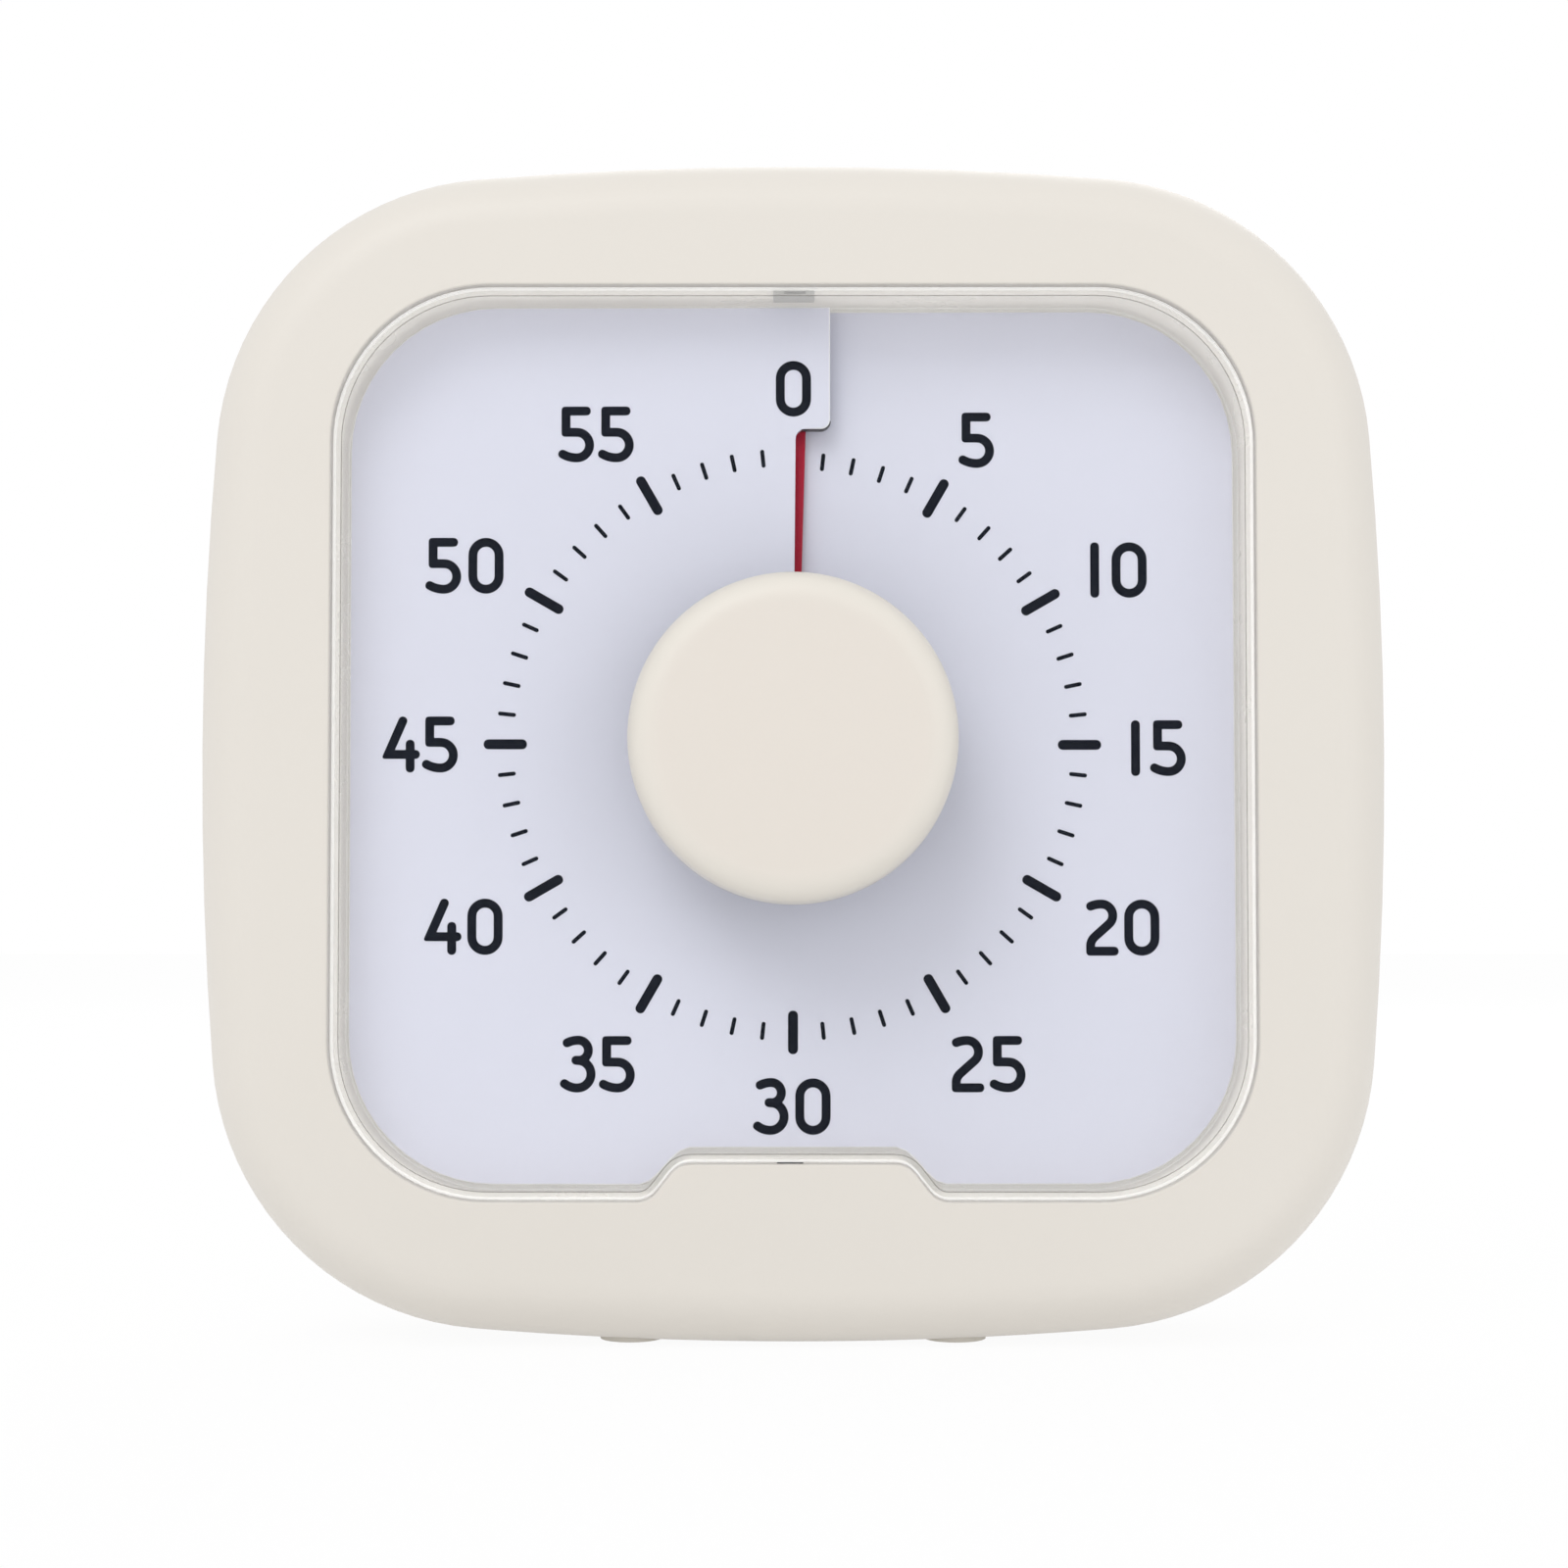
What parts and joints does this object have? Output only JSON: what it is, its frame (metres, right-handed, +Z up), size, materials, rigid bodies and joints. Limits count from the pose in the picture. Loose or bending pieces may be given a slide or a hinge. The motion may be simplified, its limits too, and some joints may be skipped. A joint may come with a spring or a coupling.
{
  "type": "visual countdown timer",
  "caption": "Square rounded timer with a clear window, a spiral dial, a red sheet that a central knob winds out of a slit, and a quartz movement behind.",
  "frame": {"origin": "middle of the footprint on the plane it stands on, under the middle of its depth with the knob", "axes": "+X to the right seen from the front, +Z up, the dial faces -Y"},
  "size_m": [0.19, 0.056, 0.189],
  "materials": {
    "case_cream": "fine satin moulding",
    "clear_plastic": "clear polystyrene",
    "dial_white": "matt with printed navy marks",
    "red_sheet": "satin plastic film",
    "white_nylon": "moulded",
    "knob_cream": "fine satin moulding",
    "steel": "bright",
    "brass": "turned",
    "black_plastic": "moulded",
    "copper_wire": null,
    "board_green": "coated board",
    "cell_wrap": "plain shrink wrap",
    "lead_red": "wire sheath",
    "lead_black": "wire sheath",
    "foot_rubber": "soft matt"
  },
  "bodies": {
    "case": {"front_frame": "case_cream", "rear_case": "case_cream", "clear_cover": "clear_plastic", "dial": "dial_white", "chassis_plate": "white_nylon", "bush_nut": "brass", "centre_bush": "brass", "movement_front": "black_plastic", "movement_rear": "black_plastic", "stator": "steel", "coil": "copper_wire", "alarm_leaf": "brass", "circuit_board": "board_green", "quartz_crystal": "steel", "buzzer": "black_plastic", "switch_body": "steel", "battery_cell": "cell_wrap", "positive_contact": "steel", "spring_contact": "steel", "battery_leads": "lead_red", "buzzer_leads": "lead_black", "case_screws": "steel", "chassis_screws": "steel", "movement_screws": "steel", "board_screws": "steel", "rubber_feet": "foot_rubber"},
    "knob_set": {"knob": "knob_cream", "spindle": "steel", "alarm_cam": "white_nylon"},
    "sheet_set": {"red_sheet": "red_sheet", "sheet_hub": "white_nylon"},
    "volume_button": {"switch_button": "black_plastic"},
    "battery_lid": {"battery_door": "case_cream"},
    "rotor_set": {"rotor": "white_nylon"},
    "fifth_set": {"fifth_wheel": "white_nylon"},
    "fourth_set": {"fourth_wheel": "white_nylon"},
    "third_set": {"third_wheel": "brass"},
    "centre_set": {"centre_wheel": "brass"}
  },
  "joints": [
    {"name": "knob_turn", "type": "hinge", "parent": "case", "child": "knob_set", "pos_m": [0, -0.014, 0.0955], "axis": [0, 1, 0], "range_deg": [0, 360]},
    {"name": "sheet_rise", "type": "slide", "parent": "knob_set", "child": "sheet_set", "axis": [0, -1, 0], "range_m": [0, 0.004]},
    {"name": "volume_slide", "type": "slide", "parent": "case", "child": "volume_button", "axis": [1, 0, 0], "range_m": [-0.0025, 0.0025]},
    {"name": "battery_door_hinge", "type": "hinge", "parent": "case", "child": "battery_lid", "pos_m": [0, 0.028, 0.05065], "axis": [1, 0, 0], "range_deg": [0, 80]},
    {"name": "rotor_spin", "type": "hinge", "parent": "case", "child": "rotor_set", "pos_m": [-0.01379, 0.009, 0.087], "axis": [0, 1, 0], "continuous": true},
    {"name": "fifth_wheel_spin", "type": "hinge", "parent": "case", "child": "fifth_set", "pos_m": [-0.00736, 0.009, 0.08107], "axis": [0, 1, 0], "continuous": true},
    {"name": "fourth_wheel_spin", "type": "hinge", "parent": "case", "child": "fourth_set", "pos_m": [0.00334, 0.009, 0.07965], "axis": [0, 1, 0], "continuous": true},
    {"name": "third_wheel_spin", "type": "hinge", "parent": "case", "child": "third_set", "pos_m": [0.01327, 0.009, 0.08621], "axis": [0, 1, 0], "continuous": true},
    {"name": "centre_wheel_spin", "type": "hinge", "parent": "case", "child": "centre_set", "pos_m": [0, 0.009, 0.0955], "axis": [0, 1, 0], "continuous": true}
  ],
  "couplings": [
    {"joint": "sheet_rise", "follows": "knob_turn", "m_per_rad": 0.00063662},
    {"joint": "rotor_spin", "follows": "fourth_wheel_spin", "ratio": 30},
    {"joint": "fifth_wheel_spin", "follows": "fourth_wheel_spin", "ratio": -5},
    {"joint": "third_wheel_spin", "follows": "fourth_wheel_spin", "ratio": -0.13333},
    {"joint": "centre_wheel_spin", "follows": "fourth_wheel_spin", "ratio": 0.016667}
  ]
}
